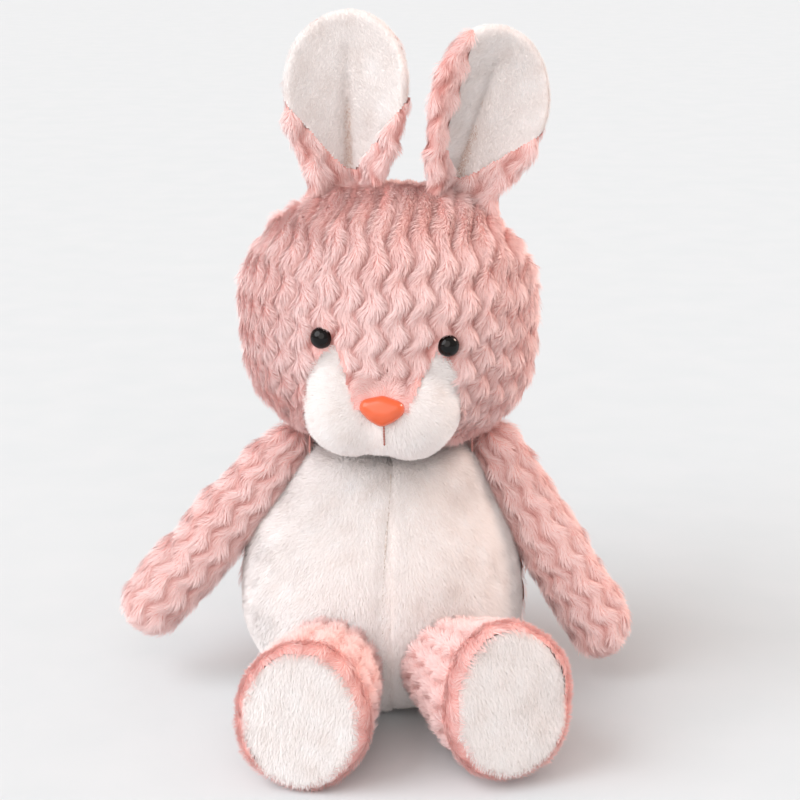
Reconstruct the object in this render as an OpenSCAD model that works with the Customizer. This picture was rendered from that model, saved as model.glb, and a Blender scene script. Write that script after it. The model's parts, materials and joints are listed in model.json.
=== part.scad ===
// Sitting plush rabbit: cloth covers sewn round soft fillings, with limbs, head and ears
// that bend at their seams. Cloth sizes are the backing of the cloth, without its pile.
// The rabbit faces -Y, its own left is +X, and the middle of its flat seat is the origin.

/* [Body] */
// Largest radius of the belly
belly_r = 59.5; // [50:0.5:72]
// Height of the widest part of the belly above the seat
belly_z = 40; // [34:1:48]
// Radius of the flat seat
seat_r = 38; // [30:1:44]
// Radius at the shoulders
shoulder_r = 36.5; // [30:0.5:44]
// Height of the body from the seat to its top
body_h = 107; // [90:1:129]
// Thickness of the cloth
cloth = 2; // [1.5:0.1:2.5]
// Width of the sewn seam down the belly
seam_w = 1.2; // [0.8:0.1:2]

/* [Head] */
// Radius of the head
head_r = 60; // [50:0.5:72]
// Height of the head above its widest level
head_up = 53.5; // [46:0.5:64]
// Depth of the head below its widest level
head_down = 50.5; // [44:0.5:61]
// Gap between the top of the body and the lowest point of the head
head_gap = 3.5; // [3.5:0.5:8]
// Sideways tilt of the head
head_roll = 3; // [0:1:6]
// Turn of the face to the rabbit's right
head_yaw = 3; // [0:1:6]
// Radius of the ball at the neck
neck_ball_r = 20; // [18:0.5:24]

/* [Face] */
// Distance between the two eyes
eye_gap = 49; // [42:0.2:54]
// Radius of an eye
eye_r = 5.2; // [4:0.1:6.5]
// Radius of each muzzle lobe
lobe_r = 21; // [19:0.5:24]
// Sideways place of each muzzle lobe
lobe_x = 11; // [9:0.5:13]
// Width of the nose
nose_w = 18.6; // [15:0.2:22]
// Thickness of the thread of the mouth
mouth_thread = 1.2; // [0.8:0.1:1.6]

/* [Ears] */
// Length of an ear
ear_len = 71; // [60:1:86]
// Width of an ear
ear_w = 50; // [42:1:56]
// Radius of the ear's hollow front
ear_bow = 45; // [38:1:60]
// Place of the left ear across the head
ear_left_x = 24; // [22:1:30]
// Place of the right ear across the head
ear_right_x = 20; // [18:1:26]
// Outward lean of the left ear
ear_left_lean = 14; // [4:1:18]
// Outward lean of the right ear
ear_right_lean = 3; // [0:1:16]

/* [Arms] */
// Length of an arm from its shoulder ball to the end of the paw
arm_len = 101; // [84:1:112]
// Radius of the ball at the shoulder
arm_ball_r = 11; // [9:0.5:12]
// Radius of the paw
paw_r = 14; // [12:0.5:16]
// Angle between the left arm and straight down
arm_left_out = 31; // [31:1:60]
// Angle between the right arm and straight down
arm_right_out = 41; // [31:1:60]
// Forward lean of both arms
arm_forward = 5; // [0:1:15]

/* [Legs] */
// Length of a leg from its hip ball to the sole
leg_len = 70; // [60:1:84]
// Radius of the ball at the hip
leg_ball_r = 19.5; // [16:0.5:21]
// Radius of the foot at the sole
foot_r = 28; // [24:0.5:31]
// Radius of the white sole
sole_r = 24; // [20:0.5:26]
// Outward turn of the left leg
leg_left_out = 20; // [5:1:25]
// Outward turn of the right leg
leg_right_out = 9; // [5:1:25]
// Height of the left foot above the surface that the rabbit sits on
left_foot_lift = 4; // [0.8:0.2:6]
// Height of the right foot above that surface
right_foot_lift = 0.8; // [0.8:0.2:6]
// Height of the hips above the seat
hip_z = 25; // [22:0.5:30]
// Distance from the middle to each hip
hip_x = 23; // [20.5:0.5:27]

/* [Inside] */
// Radius of the bag of pellets in the seat
bag_r = 20; // [14:0.5:23]
// Radius of the tail
tail_r = 13; // [10:0.5:16]
// Radius of the thread of the limb seams
thread_r = 0.5; // [0.3:0.05:0.6]

/* [Hidden] */
$fn = 64;

pink = "#eeb4ad";
rose = "#dd9a93";
white = "#f3eeea";
fibre = "#fbfaf7";
black = "#17161a";
orange = "#ee6b3c";
far = 400;

// Clearance between a ball and the thread round it, and between the thread and the socket
seam_gap = 0.5;
function thread_at(ball) = ball + seam_gap + thread_r;
function socket_r(ball) = ball + 2 * seam_gap + 2 * thread_r + 0.5;
// Angle at which a seam thread lies round its ball, from the ball's inner end
thread_angle = 50;
// An arm hangs steeply from its seam, so its thread sits nearer the seam's middle
arm_thread_angle = 38;

// Body
neck_flat_r = 20;
neck_z = body_h - neck_ball_r + 5;
shoulder_z = body_h - 6;

// Head
head_z = body_h + head_gap + head_down;
head_power_up = 2.2;
head_power_down = 2.8;
lobe_y = -(head_r - 13);
lobe_z = -27;
eye_z = 1;
nose_z = -24;
post_r = 1.6;
post_len = 9;
washer_r = 6.5;
washer_t = 1.5;
washer_gap = 0.6;

// Ears
ear_y = 4;
ear_lift = 5;
ear_layer = 2.2;
ear_hem = 3.5;
ear_foot_angle = 35;

// Arms: the shoulder ball stands proud of the side of the body
arm_x = shoulder_r + 7;
arm_z = body_h - 5;
arm_swing_gap = 0.5;
arm_in_limit = 30;

// Legs: the foot clears the floor, and the leg slopes up to reach that height
foot_edge = 4;
function foot_lift(side) = side > 0 ? left_foot_lift : right_foot_lift;
function leg_slope(side) = asin((foot_r + foot_lift(side) - hip_z) / leg_len);
hip_y = -(belly_r - 11);
leg_tilt_limit = 24;
leg_room_gap = 0.8;

// Tail
tail_z = belly_z - 8;
tail_y = belly_r + 4;

function bez(a, b, c, d, t) =
    a * pow(1 - t, 3) + 3 * b * t * pow(1 - t, 2) + 3 * c * t * t * (1 - t) + d * pow(t, 3);
function bez_run(a, b, c, d, n) = [for (i = [1:n]) bez(a, b, c, d, i / n)];

// Half outline of the body, drawn in by g
function body_outline(g) = concat(
    [[0, g], [seat_r - g, g]],
    bez_run([seat_r - g, g], [belly_r - 8 - g, g + 1], [belly_r - g, belly_z * 0.45],
        [belly_r - g, belly_z], 7),
    bez_run([belly_r - g, belly_z], [belly_r - g, belly_z + 28],
        [shoulder_r + 10 - g, shoulder_z - 18], [shoulder_r - g, shoulder_z], 7),
    bez_run([shoulder_r - g, shoulder_z], [shoulder_r - 2.5 - g, shoulder_z + 4],
        [shoulder_r - 7 - g, body_h - g], [neck_flat_r, body_h - g], 4),
    [[0, body_h - g]]
);

// Half outline of the head, drawn in by g: an oval that is fuller than an ellipse
function head_point(a, g) =
    let (p = a > 0 ? head_power_up : head_power_down, h = a > 0 ? head_up : head_down)
    [(head_r - g) * pow(cos(a), 2 / p), sign(a) * (h - g) * pow(abs(sin(a)), 2 / p)];
function head_outline(g) = [for (a = [-90:7.5:90]) head_point(a, g)];
function head_radius(z) =
    let (p = z > 0 ? head_power_up : head_power_down, h = z > 0 ? head_up : head_down)
    head_r * pow(1 - pow(abs(z) / h, p), 1 / p);
function head_top(x) = head_up * pow(1 - pow(x / head_r, head_power_up), 1 / head_power_up);

module mirrored(side) {
    if (side > 0) children();
    else mirror([1, 0, 0]) children();
}

// ---- Body ----
module body_form(g) {
    rotate_extrude($fn = 128) polygon(body_outline(g));
    translate([0, 0, neck_z]) sphere(r = neck_ball_r - g);
}

module tail_ball(g) {
    translate([0, tail_y, tail_z]) sphere(r = tail_r - g);
}

module seat_space() {
    cylinder(r = seat_r - cloth, h = cloth);
}

// Room for both arms at every angle of their swing, and for the seam threads
module arm_rooms() {
    r = arm_ball_r + arm_swing_gap;
    a = arm_in_limit - asin((paw_r - arm_ball_r) / (arm_len - paw_r));
    reach = 60;
    for (side = [-1, 1]) mirrored(side) translate([arm_x, 0, arm_z]) {
        sphere(r = socket_r(arm_ball_r));
        translate([-r * cos(a), 0, 0]) rotate([0, 90, 0])
            cylinder(r1 = r * sin(a), r2 = r * sin(a) + reach / tan(a), h = reach);
    }
}

// Room for a leg that tilts any way up to its limit
module leg_rooms() {
    r = leg_ball_r + leg_room_gap;
    t = leg_tilt_limit;
    reach = 60;
    for (side = [-1, 1]) leg_place(side) {
        sphere(r = socket_r(leg_ball_r));
        translate([0, 0, -r * sin(t)])
            cylinder(r1 = r * cos(t), r2 = r * cos(t) + reach * tan(t), h = reach);
    }
}

module limb_rooms() {
    arm_rooms();
    leg_rooms();
}

module body_skin() {
    difference() {
        body_form(0);
        body_form(cloth);
        seat_space();
        limb_rooms();
        tail_ball(0);
    }
}

module front_half() {
    translate([-far, -2 * far, -far]) cube([2 * far, 2 * far, 2 * far]);
}

module seam_slab() {
    translate([-seam_w / 2, -far, -far]) cube([seam_w, far, 2 * far]);
}

module belly_panel(side) {
    color(white) intersection() {
        body_skin();
        mirrored(side) translate([seam_w / 2, -far, -far]) cube([far, far, 2 * far]);
    }
}

module belly_panel_left() {
    belly_panel(1);
}

module belly_panel_right() {
    belly_panel(-1);
}

module belly_seam() {
    color("#d9d1cb") intersection() {
        body_skin();
        seam_slab();
    }
}

module back_panel() {
    color(pink) difference() {
        body_skin();
        front_half();
    }
}

module seat_panel() {
    color(rose) seat_space();
}

module bag_place() {
    translate([0, 6, cloth + bag_r + 2]) children();
}

module body_filling() {
    color(fibre) difference() {
        body_form(cloth);
        limb_rooms();
        tail_ball(0);
        bag_place() sphere(r = bag_r);
    }
}

module pellet_bag() {
    color("#e6e0d2") bag_place() difference() {
        sphere(r = bag_r);
        sphere(r = bag_r - 1);
    }
}

module pellets() {
    color("#c9c6bd") bag_place() sphere(r = bag_r - 1);
}

module tail_cover() {
    color(white) difference() {
        tail_ball(0);
        tail_ball(cloth);
    }
}

module tail_filling() {
    color(fibre) tail_ball(cloth);
}

// ---- Neck ----
module neck_seam() {
    r = thread_at(neck_ball_r);
    a = 35;
    color(rose) translate([0, 0, neck_z + r * cos(a)])
        rotate_extrude() translate([r * sin(a), 0]) circle(r = thread_r, $fn = 24);
}

// ---- Head ----
module head_place() {
    translate([0, 0, head_z]) rotate([0, 0, -head_yaw]) rotate([0, head_roll, 0]) children();
}

module neck_room() {
    translate([0, 0, neck_z]) sphere(r = socket_r(neck_ball_r));
}

module head_form(g) {
    rotate_extrude($fn = 128) polygon(head_outline(g));
    for (side = [-1, 1]) translate([side * lobe_x, lobe_y, lobe_z]) sphere(r = lobe_r - g);
}

// Front outline of the white muzzle: two round lobes with a pink point between them
module muzzle_region() {
    rotate([90, 0, 0]) linear_extrude(height = far) difference() {
        for (side = [-1, 1]) translate([side * (lobe_x + 2), lobe_z - 2]) circle(r = lobe_r);
        polygon([[0, nose_z], [30, nose_z + 20], [-30, nose_z + 20]]);
    }
}

// Places children at an eye, with +Z out of the cloth
module eye_place(side) {
    x = eye_gap / 2;
    y = sqrt(pow(head_radius(eye_z), 2) - x * x);
    mirrored(side) translate([x, -y, eye_z]) rotate([90, 0, atan2(x, y)]) children();
}

// Places children at the nose, with +Z forward
module nose_place() {
    y = lobe_y - sqrt(lobe_r * lobe_r - lobe_x * lobe_x);
    translate([0, y, nose_z]) rotate([90, 0, 0]) children();
}

module post(g) {
    translate([0, 0, -post_len]) cylinder(r = post_r + g, h = post_len + 0.5);
}

module washer_room() {
    translate([0, 0, -post_len - 0.5]) cylinder(r = washer_r + 0.5, h = post_len + 0.5);
}

module fitting_rooms() {
    for (side = [-1, 1]) eye_place(side) children();
    nose_place() children();
}

module head_skin() {
    difference() {
        head_form(0);
        head_form(cloth);
        fitting_rooms() post(0.1);
    }
}

module head_cover() {
    color(pink) difference() {
        head_place() difference() {
            head_skin();
            muzzle_region();
        }
        neck_room();
    }
}

module muzzle_cover() {
    color(white) difference() {
        head_place() intersection() {
            head_skin();
            muzzle_region();
        }
        neck_room();
    }
}

module head_filling() {
    color(fibre) difference() {
        head_place() difference() {
            head_form(cloth);
            fitting_rooms() washer_room();
        }
        neck_room();
    }
}

module eye(side) {
    color(black) head_place() eye_place(side) {
        intersection() {
            translate([0, 0, 0.6]) sphere(r = eye_r);
            translate([0, 0, 0.05]) cylinder(r = 2 * eye_r, h = 2 * eye_r);
        }
        post(0);
    }
}

module eye_left() {
    eye(1);
}

module eye_right() {
    eye(-1);
}

module washer() {
    color("#f4f4f0") translate([0, 0, -cloth - washer_gap - washer_t]) difference() {
        cylinder(r = washer_r, h = washer_t);
        translate([0, 0, -1]) cylinder(r = post_r + 0.05, h = washer_t + 2);
    }
}

module eye_washer_left() {
    head_place() eye_place(1) washer();
}

module eye_washer_right() {
    head_place() eye_place(-1) washer();
}

module nose() {
    corner_r = 3.8;
    color(orange) head_place() {
        difference() {
            nose_place() hull() {
                for (side = [-1, 1]) translate([side * (nose_w / 2 - corner_r), 2.4, 2.6])
                    sphere(r = corner_r, $fn = 24);
                translate([0, -2.8, 2.6]) sphere(r = corner_r, $fn = 24);
            }
            head_form(0);
        }
        nose_place() post(0);
    }
}

module nose_washer() {
    head_place() nose_place() translate([0, 0, -3.7]) washer();
}

// A thread that lies in the cleft between the two lobes, below the nose
module mouth_stitch() {
    thread = mouth_thread / 2;
    cleft = sqrt(lobe_r * lobe_r - lobe_x * lobe_x);
    major = cleft + (thread + 0.03) * lobe_r / cleft;
    color("#a9746a") head_place() translate([0, lobe_y, lobe_z]) rotate([0, -90, 0])
        rotate([0, 0, 200]) rotate_extrude(angle = 42) translate([major, 0])
            circle(r = thread, $fn = 24);
}

// ---- Ears ----
// Half width of an ear at angle a round its egg-shaped outline
function ear_x(a, w) = w * sin(a) * (1 - 0.22 * cos(a));
function ear_height(a) = (cos(ear_foot_angle) - cos(a)) / (1 + cos(ear_foot_angle));
function ear_outline(hem) = [
    for (side = [1, -1])
        for (a = side > 0 ? [ear_foot_angle:12.083:180] : [180 - 12.083:-12.083:ear_foot_angle])
            [side * ear_x(a, ear_w / 2 - hem), hem + ear_height(a) * (ear_len - 2 * hem)]
];

module ear_place(side, x, lean) {
    head_place() mirrored(side)
        translate([x, ear_y, head_top(x) + ear_lift]) rotate([0, lean, 0]) children();
}

module ear_layer(r, hem) {
    intersection() {
        rotate([90, 0, 0]) linear_extrude(height = 80, center = true)
            translate([0, -1.5]) polygon(ear_outline(hem));
        translate([0, -ear_bow, -10]) difference() {
            cylinder(r = r + ear_layer, h = ear_len + 20, $fn = 128);
            translate([0, 0, -1]) cylinder(r = r, h = ear_len + 22, $fn = 128);
        }
    }
}

module ear_back() {
    color(pink) ear_layer(ear_bow, 0);
}

module ear_lining() {
    color(white) ear_layer(ear_bow - ear_layer, ear_hem);
}

module ear_left_back() {
    ear_place(1, ear_left_x, ear_left_lean) ear_back();
}

module ear_left_lining() {
    ear_place(1, ear_left_x, ear_left_lean) ear_lining();
}

module ear_right_back() {
    ear_place(-1, ear_right_x, ear_right_lean) ear_back();
}

module ear_right_lining() {
    ear_place(-1, ear_right_x, ear_right_lean) ear_lining();
}

// ---- Limbs ----
// A round limb along +Z: a ball at its root that runs smoothly into a larger round end
module tapered_limb(root, tip, reach) {
    t = asin((tip - root) / reach);
    sphere(r = root);
    translate([0, 0, reach]) sphere(r = tip);
    translate([0, 0, -root * sin(t)])
        cylinder(r1 = root * cos(t), r2 = tip * cos(t), h = reach - (tip - root) * sin(t));
}

// Thread round the inner end of a limb's ball, with +Z along the limb's own seam axis
module seam_ring(ball, angle = thread_angle) {
    r = thread_at(ball);
    color(rose) translate([0, 0, -r * cos(angle)])
        rotate_extrude() translate([r * sin(angle), 0]) circle(r = thread_r, $fn = 24);
}

module arm_place(side, out) {
    mirrored(side) translate([arm_x, 0, arm_z])
        rotate([-arm_forward, 0, 0]) rotate([0, 180 - out, 0]) children();
}

module arm_form(g) {
    tapered_limb(arm_ball_r - g, paw_r - g, arm_len - paw_r);
}

module arm_cover(side, out) {
    color(pink) arm_place(side, out) difference() {
        arm_form(0);
        arm_form(cloth);
    }
}

module arm_filling(side, out) {
    color(fibre) arm_place(side, out) arm_form(cloth);
}

module arm_seam(side) {
    mirrored(side) translate([arm_x, 0, arm_z]) rotate([0, 90, 0]) seam_ring(arm_ball_r, arm_thread_angle);
}

module arm_left_seam() {
    arm_seam(1);
}

module arm_left_cover() {
    arm_cover(1, arm_left_out);
}

module arm_left_filling() {
    arm_filling(1, arm_left_out);
}

module arm_right_seam() {
    arm_seam(-1);
}

module arm_right_cover() {
    arm_cover(-1, arm_right_out);
}

module arm_right_filling() {
    arm_filling(-1, arm_right_out);
}

function leg_out(side) = side > 0 ? leg_left_out : leg_right_out;

module leg_place(side) {
    mirrored(side) translate([hip_x, hip_y, hip_z]) rotate([0, 0, leg_out(side)])
        rotate([90 - leg_slope(side), 0, 0]) children();
}

// A leg along +Z, drawn in by g: ball, sloping side, rounded edge, flat sole
module leg_form(g) {
    edge = foot_edge - g;
    rise = leg_len - foot_edge;
    wide = foot_r - foot_edge;
    t = asin((foot_r - leg_ball_r) / rise);
    sphere(r = leg_ball_r - g);
    translate([0, 0, -(leg_ball_r - g) * sin(t)]) cylinder(
        r1 = (leg_ball_r - g) * cos(t),
        r2 = wide + edge * cos(t),
        h = rise + (leg_ball_r - g - edge) * sin(t)
    );
    translate([0, 0, rise]) rotate_extrude() translate([wide, 0]) circle(r = edge, $fn = 32);
    translate([0, 0, rise - 1]) cylinder(r = wide, h = 1 + edge);
}

module sole_space() {
    translate([0, 0, leg_len - cloth]) cylinder(r = sole_r, h = 2 * cloth);
}

module leg_cover(side) {
    color(pink) leg_place(side) difference() {
        leg_form(0);
        leg_form(cloth);
        sole_space();
    }
}

module leg_sole(side) {
    color(white) leg_place(side) intersection() {
        leg_form(0);
        sole_space();
    }
}

module leg_filling(side) {
    color(fibre) leg_place(side) leg_form(cloth);
}

module leg_seam(side) {
    leg_place(side) seam_ring(leg_ball_r);
}

module leg_left_seam() {
    leg_seam(1);
}

module leg_left_cover() {
    leg_cover(1);
}

module leg_left_sole() {
    leg_sole(1);
}

module leg_left_filling() {
    leg_filling(1);
}

module leg_right_seam() {
    leg_seam(-1);
}

module leg_right_cover() {
    leg_cover(-1);
}

module leg_right_sole() {
    leg_sole(-1);
}

module leg_right_filling() {
    leg_filling(-1);
}

belly_panel_left();
belly_panel_right();
back_panel();
seat_panel();
belly_seam();
body_filling();
pellet_bag();
pellets();
tail_cover();
tail_filling();
neck_seam();
head_cover();
muzzle_cover();
head_filling();
eye_left();
eye_right();
eye_washer_left();
eye_washer_right();
nose();
nose_washer();
mouth_stitch();
ear_left_back();
ear_left_lining();
ear_right_back();
ear_right_lining();
arm_left_seam();
arm_left_cover();
arm_left_filling();
arm_right_seam();
arm_right_cover();
arm_right_filling();
leg_left_seam();
leg_left_cover();
leg_left_sole();
leg_left_filling();
leg_right_seam();
leg_right_cover();
leg_right_sole();
leg_right_filling();
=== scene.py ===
# %% [markdown]
# # A stuffed bunny rabbit
# The rabbit is sewn from two fabrics: a long pink plush whose pile is set in wavy ribs, and a short
# white plush. Under the pile lies a knitted backing, and under that the polyester stuffing. The scene
# keeps those layers: every cover is a backing surface of its own with a pile of real strands on it.

# %% Load the frame
import json
import math

import bmesh
import bpy
import numpy as np
from mathutils import Matrix, Vector

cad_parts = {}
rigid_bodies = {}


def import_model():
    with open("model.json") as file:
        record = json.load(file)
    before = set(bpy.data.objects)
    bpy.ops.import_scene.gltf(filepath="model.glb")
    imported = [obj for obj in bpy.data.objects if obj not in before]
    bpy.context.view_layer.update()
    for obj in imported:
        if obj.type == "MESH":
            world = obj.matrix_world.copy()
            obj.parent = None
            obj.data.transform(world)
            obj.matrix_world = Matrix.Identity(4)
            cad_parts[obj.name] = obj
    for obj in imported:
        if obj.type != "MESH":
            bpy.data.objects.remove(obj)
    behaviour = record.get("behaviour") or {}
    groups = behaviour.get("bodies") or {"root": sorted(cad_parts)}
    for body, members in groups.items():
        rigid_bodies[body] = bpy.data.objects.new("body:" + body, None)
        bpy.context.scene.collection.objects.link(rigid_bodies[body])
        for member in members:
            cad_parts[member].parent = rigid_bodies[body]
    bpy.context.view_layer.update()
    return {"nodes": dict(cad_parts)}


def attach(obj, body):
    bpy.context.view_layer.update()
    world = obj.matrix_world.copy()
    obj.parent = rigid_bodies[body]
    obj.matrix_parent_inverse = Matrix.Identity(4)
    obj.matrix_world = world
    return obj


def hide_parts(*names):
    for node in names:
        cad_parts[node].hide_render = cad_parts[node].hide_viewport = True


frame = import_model()
mm = 0.001
sides = ("left", "right")

# %% [markdown]
# ## Camera
# The rabbit is seen straight from the front and a little from above, through a long lens, as in a
# studio shot: the camera stands 0.85 m away, 15 degrees up, and frames 336 mm at the rabbit.

# %% Camera
aim = Vector((3.8 * mm, 0, 123.3 * mm))
stand_off, rise, framed = 850 * mm, math.radians(15), 336 * mm
camera_data = bpy.data.cameras.new("camera")
camera_data.sensor_width = 36
camera_data.lens = 36 * stand_off / framed
camera = bpy.data.objects.new("camera", camera_data)
bpy.context.scene.collection.objects.link(camera)
camera.location = aim + stand_off * Vector((0, -math.cos(rise), math.sin(rise)))
camera.rotation_euler = (math.pi / 2 - rise, 0, 0)
bpy.context.scene.camera = camera
print("lens", round(camera_data.lens, 2), "mm")

# %% [markdown]
# ## Small helpers
# One function adds a node to any node tree, and one turns a hex colour to the linear numbers that
# Blender works in.


# %% Node and colour helpers
def add(tree, kind, inputs=None, **settings):
    """Adds a node, sets its settings, and fills its inputs with values or with other sockets."""
    node = tree.nodes.new(kind)
    for name, value in settings.items():
        setattr(node, name, value)
    for name, value in (inputs or {}).items():
        if isinstance(value, bpy.types.NodeSocket):
            tree.links.new(value, node.inputs[name])
        else:
            node.inputs[name].default_value = value
    return node


def linear(hex_colour):
    """The linear RGBA of an sRGB hex colour."""
    parts = [int(hex_colour[i : i + 2], 16) / 255 for i in (1, 3, 5)]
    return [p / 12.92 if p <= 0.04045 else ((p + 0.055) / 1.055) ** 2.4 for p in parts] + [1]


def put(name, mesh):
    """A new object of the mesh, in the scene."""
    obj = bpy.data.objects.new(name, mesh)
    bpy.context.scene.collection.objects.link(obj)
    return obj


def made(name, bm, soft=False):
    """A new object in the scene from a finished bmesh, which is freed."""
    if soft:
        for face in bm.faces:
            face.smooth = True
    mesh = bpy.data.meshes.new(name)
    bm.to_mesh(mesh)
    bm.free()
    return put(name, mesh)


def settle(obj):
    """Applies every modifier of the object."""
    shaped = obj.evaluated_get(bpy.context.evaluated_depsgraph_get())
    mesh = bpy.data.meshes.new_from_object(shaped)
    obj.modifiers.clear()
    obj.data = mesh
    return obj


def points(obj):
    """The object's vertices and their normals, as two arrays."""
    count = len(obj.data.vertices)
    co, no = np.zeros(count * 3), np.zeros(count * 3)
    obj.data.vertices.foreach_get("co", co)
    obj.data.vertex_normals.foreach_get("vector", no)
    return co.reshape(-1, 3), no.reshape(-1, 3)


def move(obj, co):
    """Puts the vertices at the places in co."""
    obj.data.vertices.foreach_set("co", np.ascontiguousarray(co, dtype=np.float32).ravel())
    obj.data.update()


def tell(obj, name, values):
    """Stores one number or one vector for each vertex."""
    kind = "FLOAT_VECTOR" if np.ndim(values) == 2 else "FLOAT"
    layer = obj.data.attributes.new(name, kind, "POINT")
    flat = np.ascontiguousarray(values, dtype=np.float32).ravel()
    layer.data.foreach_set("vector" if kind == "FLOAT_VECTOR" else "value", flat)


def turned(degrees, axis):
    """A turn about X, Y or Z."""
    return Matrix.Rotation(math.radians(degrees), 4, axis)


def far_from(co, spot):
    """How far each point is from a spot."""
    return np.linalg.norm(co - spot, axis=1)


def bell(where, middle, wide):
    """1 at the middle, falling off smoothly to both sides."""
    return np.exp(-(((where - middle) / wide) ** 2))


def smooth_noise(co, size, seed, ways=16):
    """A soft noise from about -1 to 1 whose lumps are as wide as size: a sum of waves that run all ways."""
    rng = np.random.default_rng(seed)
    runs = rng.normal(size=(ways, 3))
    runs *= (2 * math.pi / (2.2 * size)) / np.linalg.norm(runs, axis=1)[:, None]
    starts = rng.uniform(0, 2 * math.pi, ways)
    return np.sin(co @ runs.T + starts).sum(1) * math.sqrt(2 / ways) / 1.6


# %% [markdown]
# ## Materials
# Plush pile is acrylic or polyester fibre: soft, matt, and lighter where the fibres' sides catch the
# light. A strand is far too thin to carry a pattern of its own, so the colour comes from several tones
# of fibre, dealt out strand by strand: partly at random, partly as painted shade, deeper in the grooves
# between the ribs, and as painted highlight, paler on the ribs' tops. The knitted backing under the pile
# is darker, is painted deeper still in the grooves as shade, and shows only deep between the tufts.


# %% Starting a material
def start_material(name):
    """A new material, its node tree and its shader."""
    material = bpy.data.materials.new(name)
    material.use_nodes = True
    tree = material.node_tree
    return material, tree, tree.nodes["Principled BSDF"]


def two_tone(tree, level, low, high, stops=(0.0, 1.0)):
    """The colour that a level picks between two linear colours."""
    ramp = add(tree, "ShaderNodeValToRGB", {"Fac": level})
    for element, stop, colour in zip(ramp.color_ramp.elements, stops, (low, high)):
        element.position = stop
        element.color = colour
    return ramp.outputs["Color"]


def rough_surface(tree, shader, height, distance, strength):
    """Roughens the shader's surface by a height, with a bump as deep as distance."""
    bump = add(tree, "ShaderNodeBump", {"Height": height, "Distance": distance, "Strength": strength})
    tree.links.new(bump.outputs["Normal"], shader.inputs["Normal"])


# %% Fibre tones
def fibre(name, hex_colour, sheen):
    """One tone of fibre, the same all along the strand; the deeper and paler tones are dealt out partly as
    painted shade and painted highlight.
    """
    material, _, shader = start_material(name)
    shader.inputs["Base Color"].default_value = linear(hex_colour)
    shader.inputs["Roughness"].default_value = 0.85
    shader.inputs["Specular IOR Level"].default_value = 0.1
    shader.inputs["Sheen Weight"].default_value = sheen
    shader.inputs["Sheen Roughness"].default_value = 0.4
    shader.inputs["Sheen Tint"].default_value = linear("#fff1ec")
    return material


# The deep rose and rose tones fall mostly in the grooves between the ribs as painted shade, and the pale pink
# and blush mostly on the ribs' tops as painted highlight, with a random share on top.
pink_tones = [
    fibre("acrylic_fibre_deep_rose", "#e2aaa4", 0.03),
    fibre("acrylic_fibre_rose", "#edc0bb", 0.04),
    fibre("acrylic_fibre_pink", "#f3cfcb", 0.05),
    fibre("acrylic_fibre_pale_pink", "#f6d8d5", 0.06),
    fibre("acrylic_fibre_blush", "#f9e0de", 0.08),
]
white_tones = [
    # The first white tone is painted shade, dealt out only in the ear's crease and along the belly seam.
    fibre("polyester_fibre_painted_shade", "#d3b8aa", 0.0),
    fibre("polyester_fibre_cream", "#f4efed", 0.03),
    fibre("polyester_fibre_warm_white", "#f9f6f5", 0.04),
    fibre("polyester_fibre_white", "#fcfbfb", 0.05),
]
print("fibre tones:", len(pink_tones), "pink,", len(white_tones), "white")


# %% Knitted backing
def backing(name, deep, light, stitch=0.9 * mm):
    """Knitted backing cloth with rows of stitches, its colour painted deeper in the grooves between the ribs
    of the pile as shade.
    """
    material, tree, shader = start_material(name)
    spot = add(tree, "ShaderNodeTexCoord").outputs["Object"]
    ridge = add(tree, "ShaderNodeAttribute", attribute_name="ridge").outputs["Fac"]
    lumps = add(tree, "ShaderNodeTexNoise", {"Vector": spot, "Scale": 1 / (9 * mm), "Detail": 3.0})
    part = add(tree, "ShaderNodeMath", {0: lumps.outputs["Fac"], 1: 0.5}, operation="MULTIPLY")
    level = add(tree, "ShaderNodeMath", {0: ridge, 1: part.outputs[0]}, operation="ADD")
    rows = add(tree, "ShaderNodeTexNoise", {"Vector": spot, "Scale": 1 / stitch, "Detail": 2.0})
    # The ridge sets the colour: painted shade, deep in the grooves and light on the ribs' tops, with soft
    # lumps.
    colour = two_tone(tree, level.outputs[0], linear(deep), linear(light), (0.15, 1.0))
    tree.links.new(colour, shader.inputs["Base Color"])
    rough_surface(tree, shader, rows.outputs["Fac"], 0.4 * mm, 0.6)
    shader.inputs["Roughness"].default_value = 0.95
    shader.inputs["Specular IOR Level"].default_value = 0.1
    return material


pink_backing = backing("knitted_backing_pink", "#cd857d", "#eeb9b3")
white_backing = backing("knitted_backing_white", "#e6dcd8", "#f3eeec")
print("backing cloth:", pink_backing.name, white_backing.name)

# %% Plain lumpy materials
def plain_cloth(name, low, high, size, rough=0.9, depth=0.3 * mm):
    """A matt material with soft lumps of the given size."""
    material, tree, shader = start_material(name)
    spot = add(tree, "ShaderNodeTexCoord").outputs["Object"]
    cloud = add(tree, "ShaderNodeTexNoise", {"Vector": spot, "Scale": 1 / size, "Detail": 4.0}).outputs["Fac"]
    colour = two_tone(tree, cloud, linear(low), linear(high), (0.3, 0.7))
    tree.links.new(colour, shader.inputs["Base Color"])
    rough_surface(tree, shader, cloud, depth, 0.7)
    shader.inputs["Roughness"].default_value = rough
    return material


# %% [markdown]
# ## Blades of pile
# A real strand of plush bundles with its neighbours into flat wisps about 0.25 mm wide, and a wisp is
# what the eye sees. So the pile is made of narrow pointed blades that rise from the backing and bend
# over. A few blades with different bends and twists are enough, because each copy is turned and
# scaled on its own. They start as a strip of grid, one square wide.


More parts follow.
